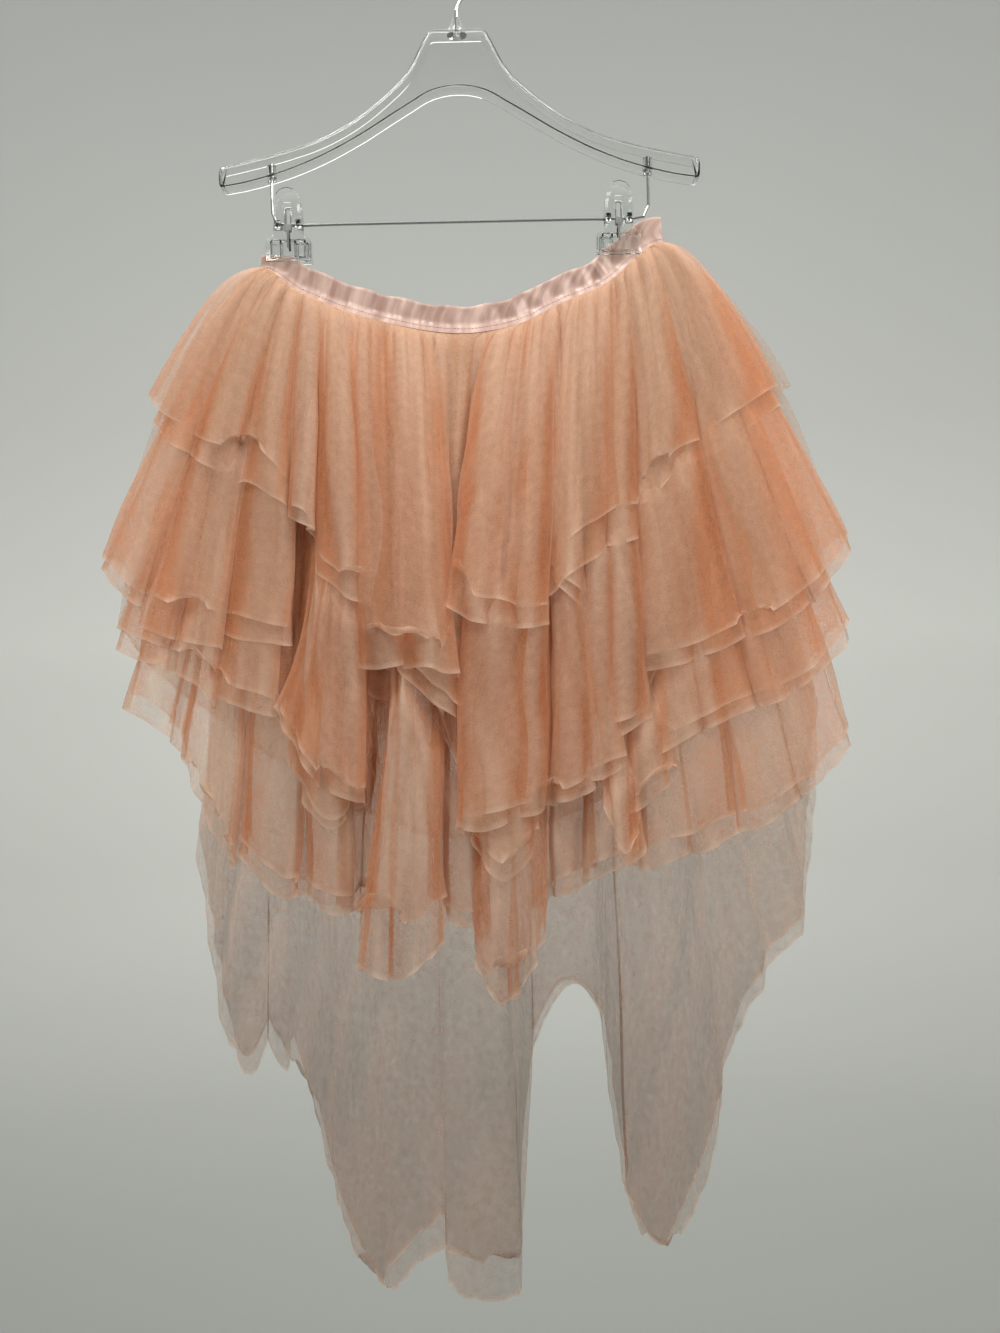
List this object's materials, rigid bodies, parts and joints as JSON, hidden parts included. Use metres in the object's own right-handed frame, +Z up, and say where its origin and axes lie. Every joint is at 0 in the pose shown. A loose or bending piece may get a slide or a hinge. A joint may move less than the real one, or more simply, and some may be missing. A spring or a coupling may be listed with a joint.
{
  "type": "tiered tulle skirt on a clip hanger",
  "caption": "Tiered tulle skirt with a high-low hem and a satin elastic waistband, held flat by the clips of a clear plastic hanger with a steel hook.",
  "frame": {"origin": "on the inside of the hook at the top of its crown, where it bears on a rail", "axes": "+Z up, +X to the right as the front is seen, +Y to the back, so the skirt hangs flat in the X-Z plane"},
  "size_m": [0.665, 0.1636, 1.2268],
  "materials": {
    "band_satin": "pale pink satin elastic with a soft shine",
    "tulle": "sheer matte peach tulle",
    "clear_plastic": "clear moulded plastic, glossy",
    "bright_steel": "bright drawn steel wire and strip"
  },
  "bodies": {
    "root": {"waistband": "band_satin", "tier_1_front": "tulle", "tier_1_back": "tulle", "tier_2_front": "tulle", "tier_2_back": "tulle", "tier_3_front": "tulle", "tier_3_back": "tulle", "tier_4_front": "tulle", "train_back": "tulle", "hanger_body": "clear_plastic", "hook": "bright_steel", "clip_rod": "bright_steel", "clip_left_front": "clear_plastic", "clip_left_back": "clear_plastic", "clip_right_front": "clear_plastic", "clip_right_back": "clear_plastic", "spring_left": "bright_steel", "spring_right": "bright_steel"}
  },
  "joints": []
}
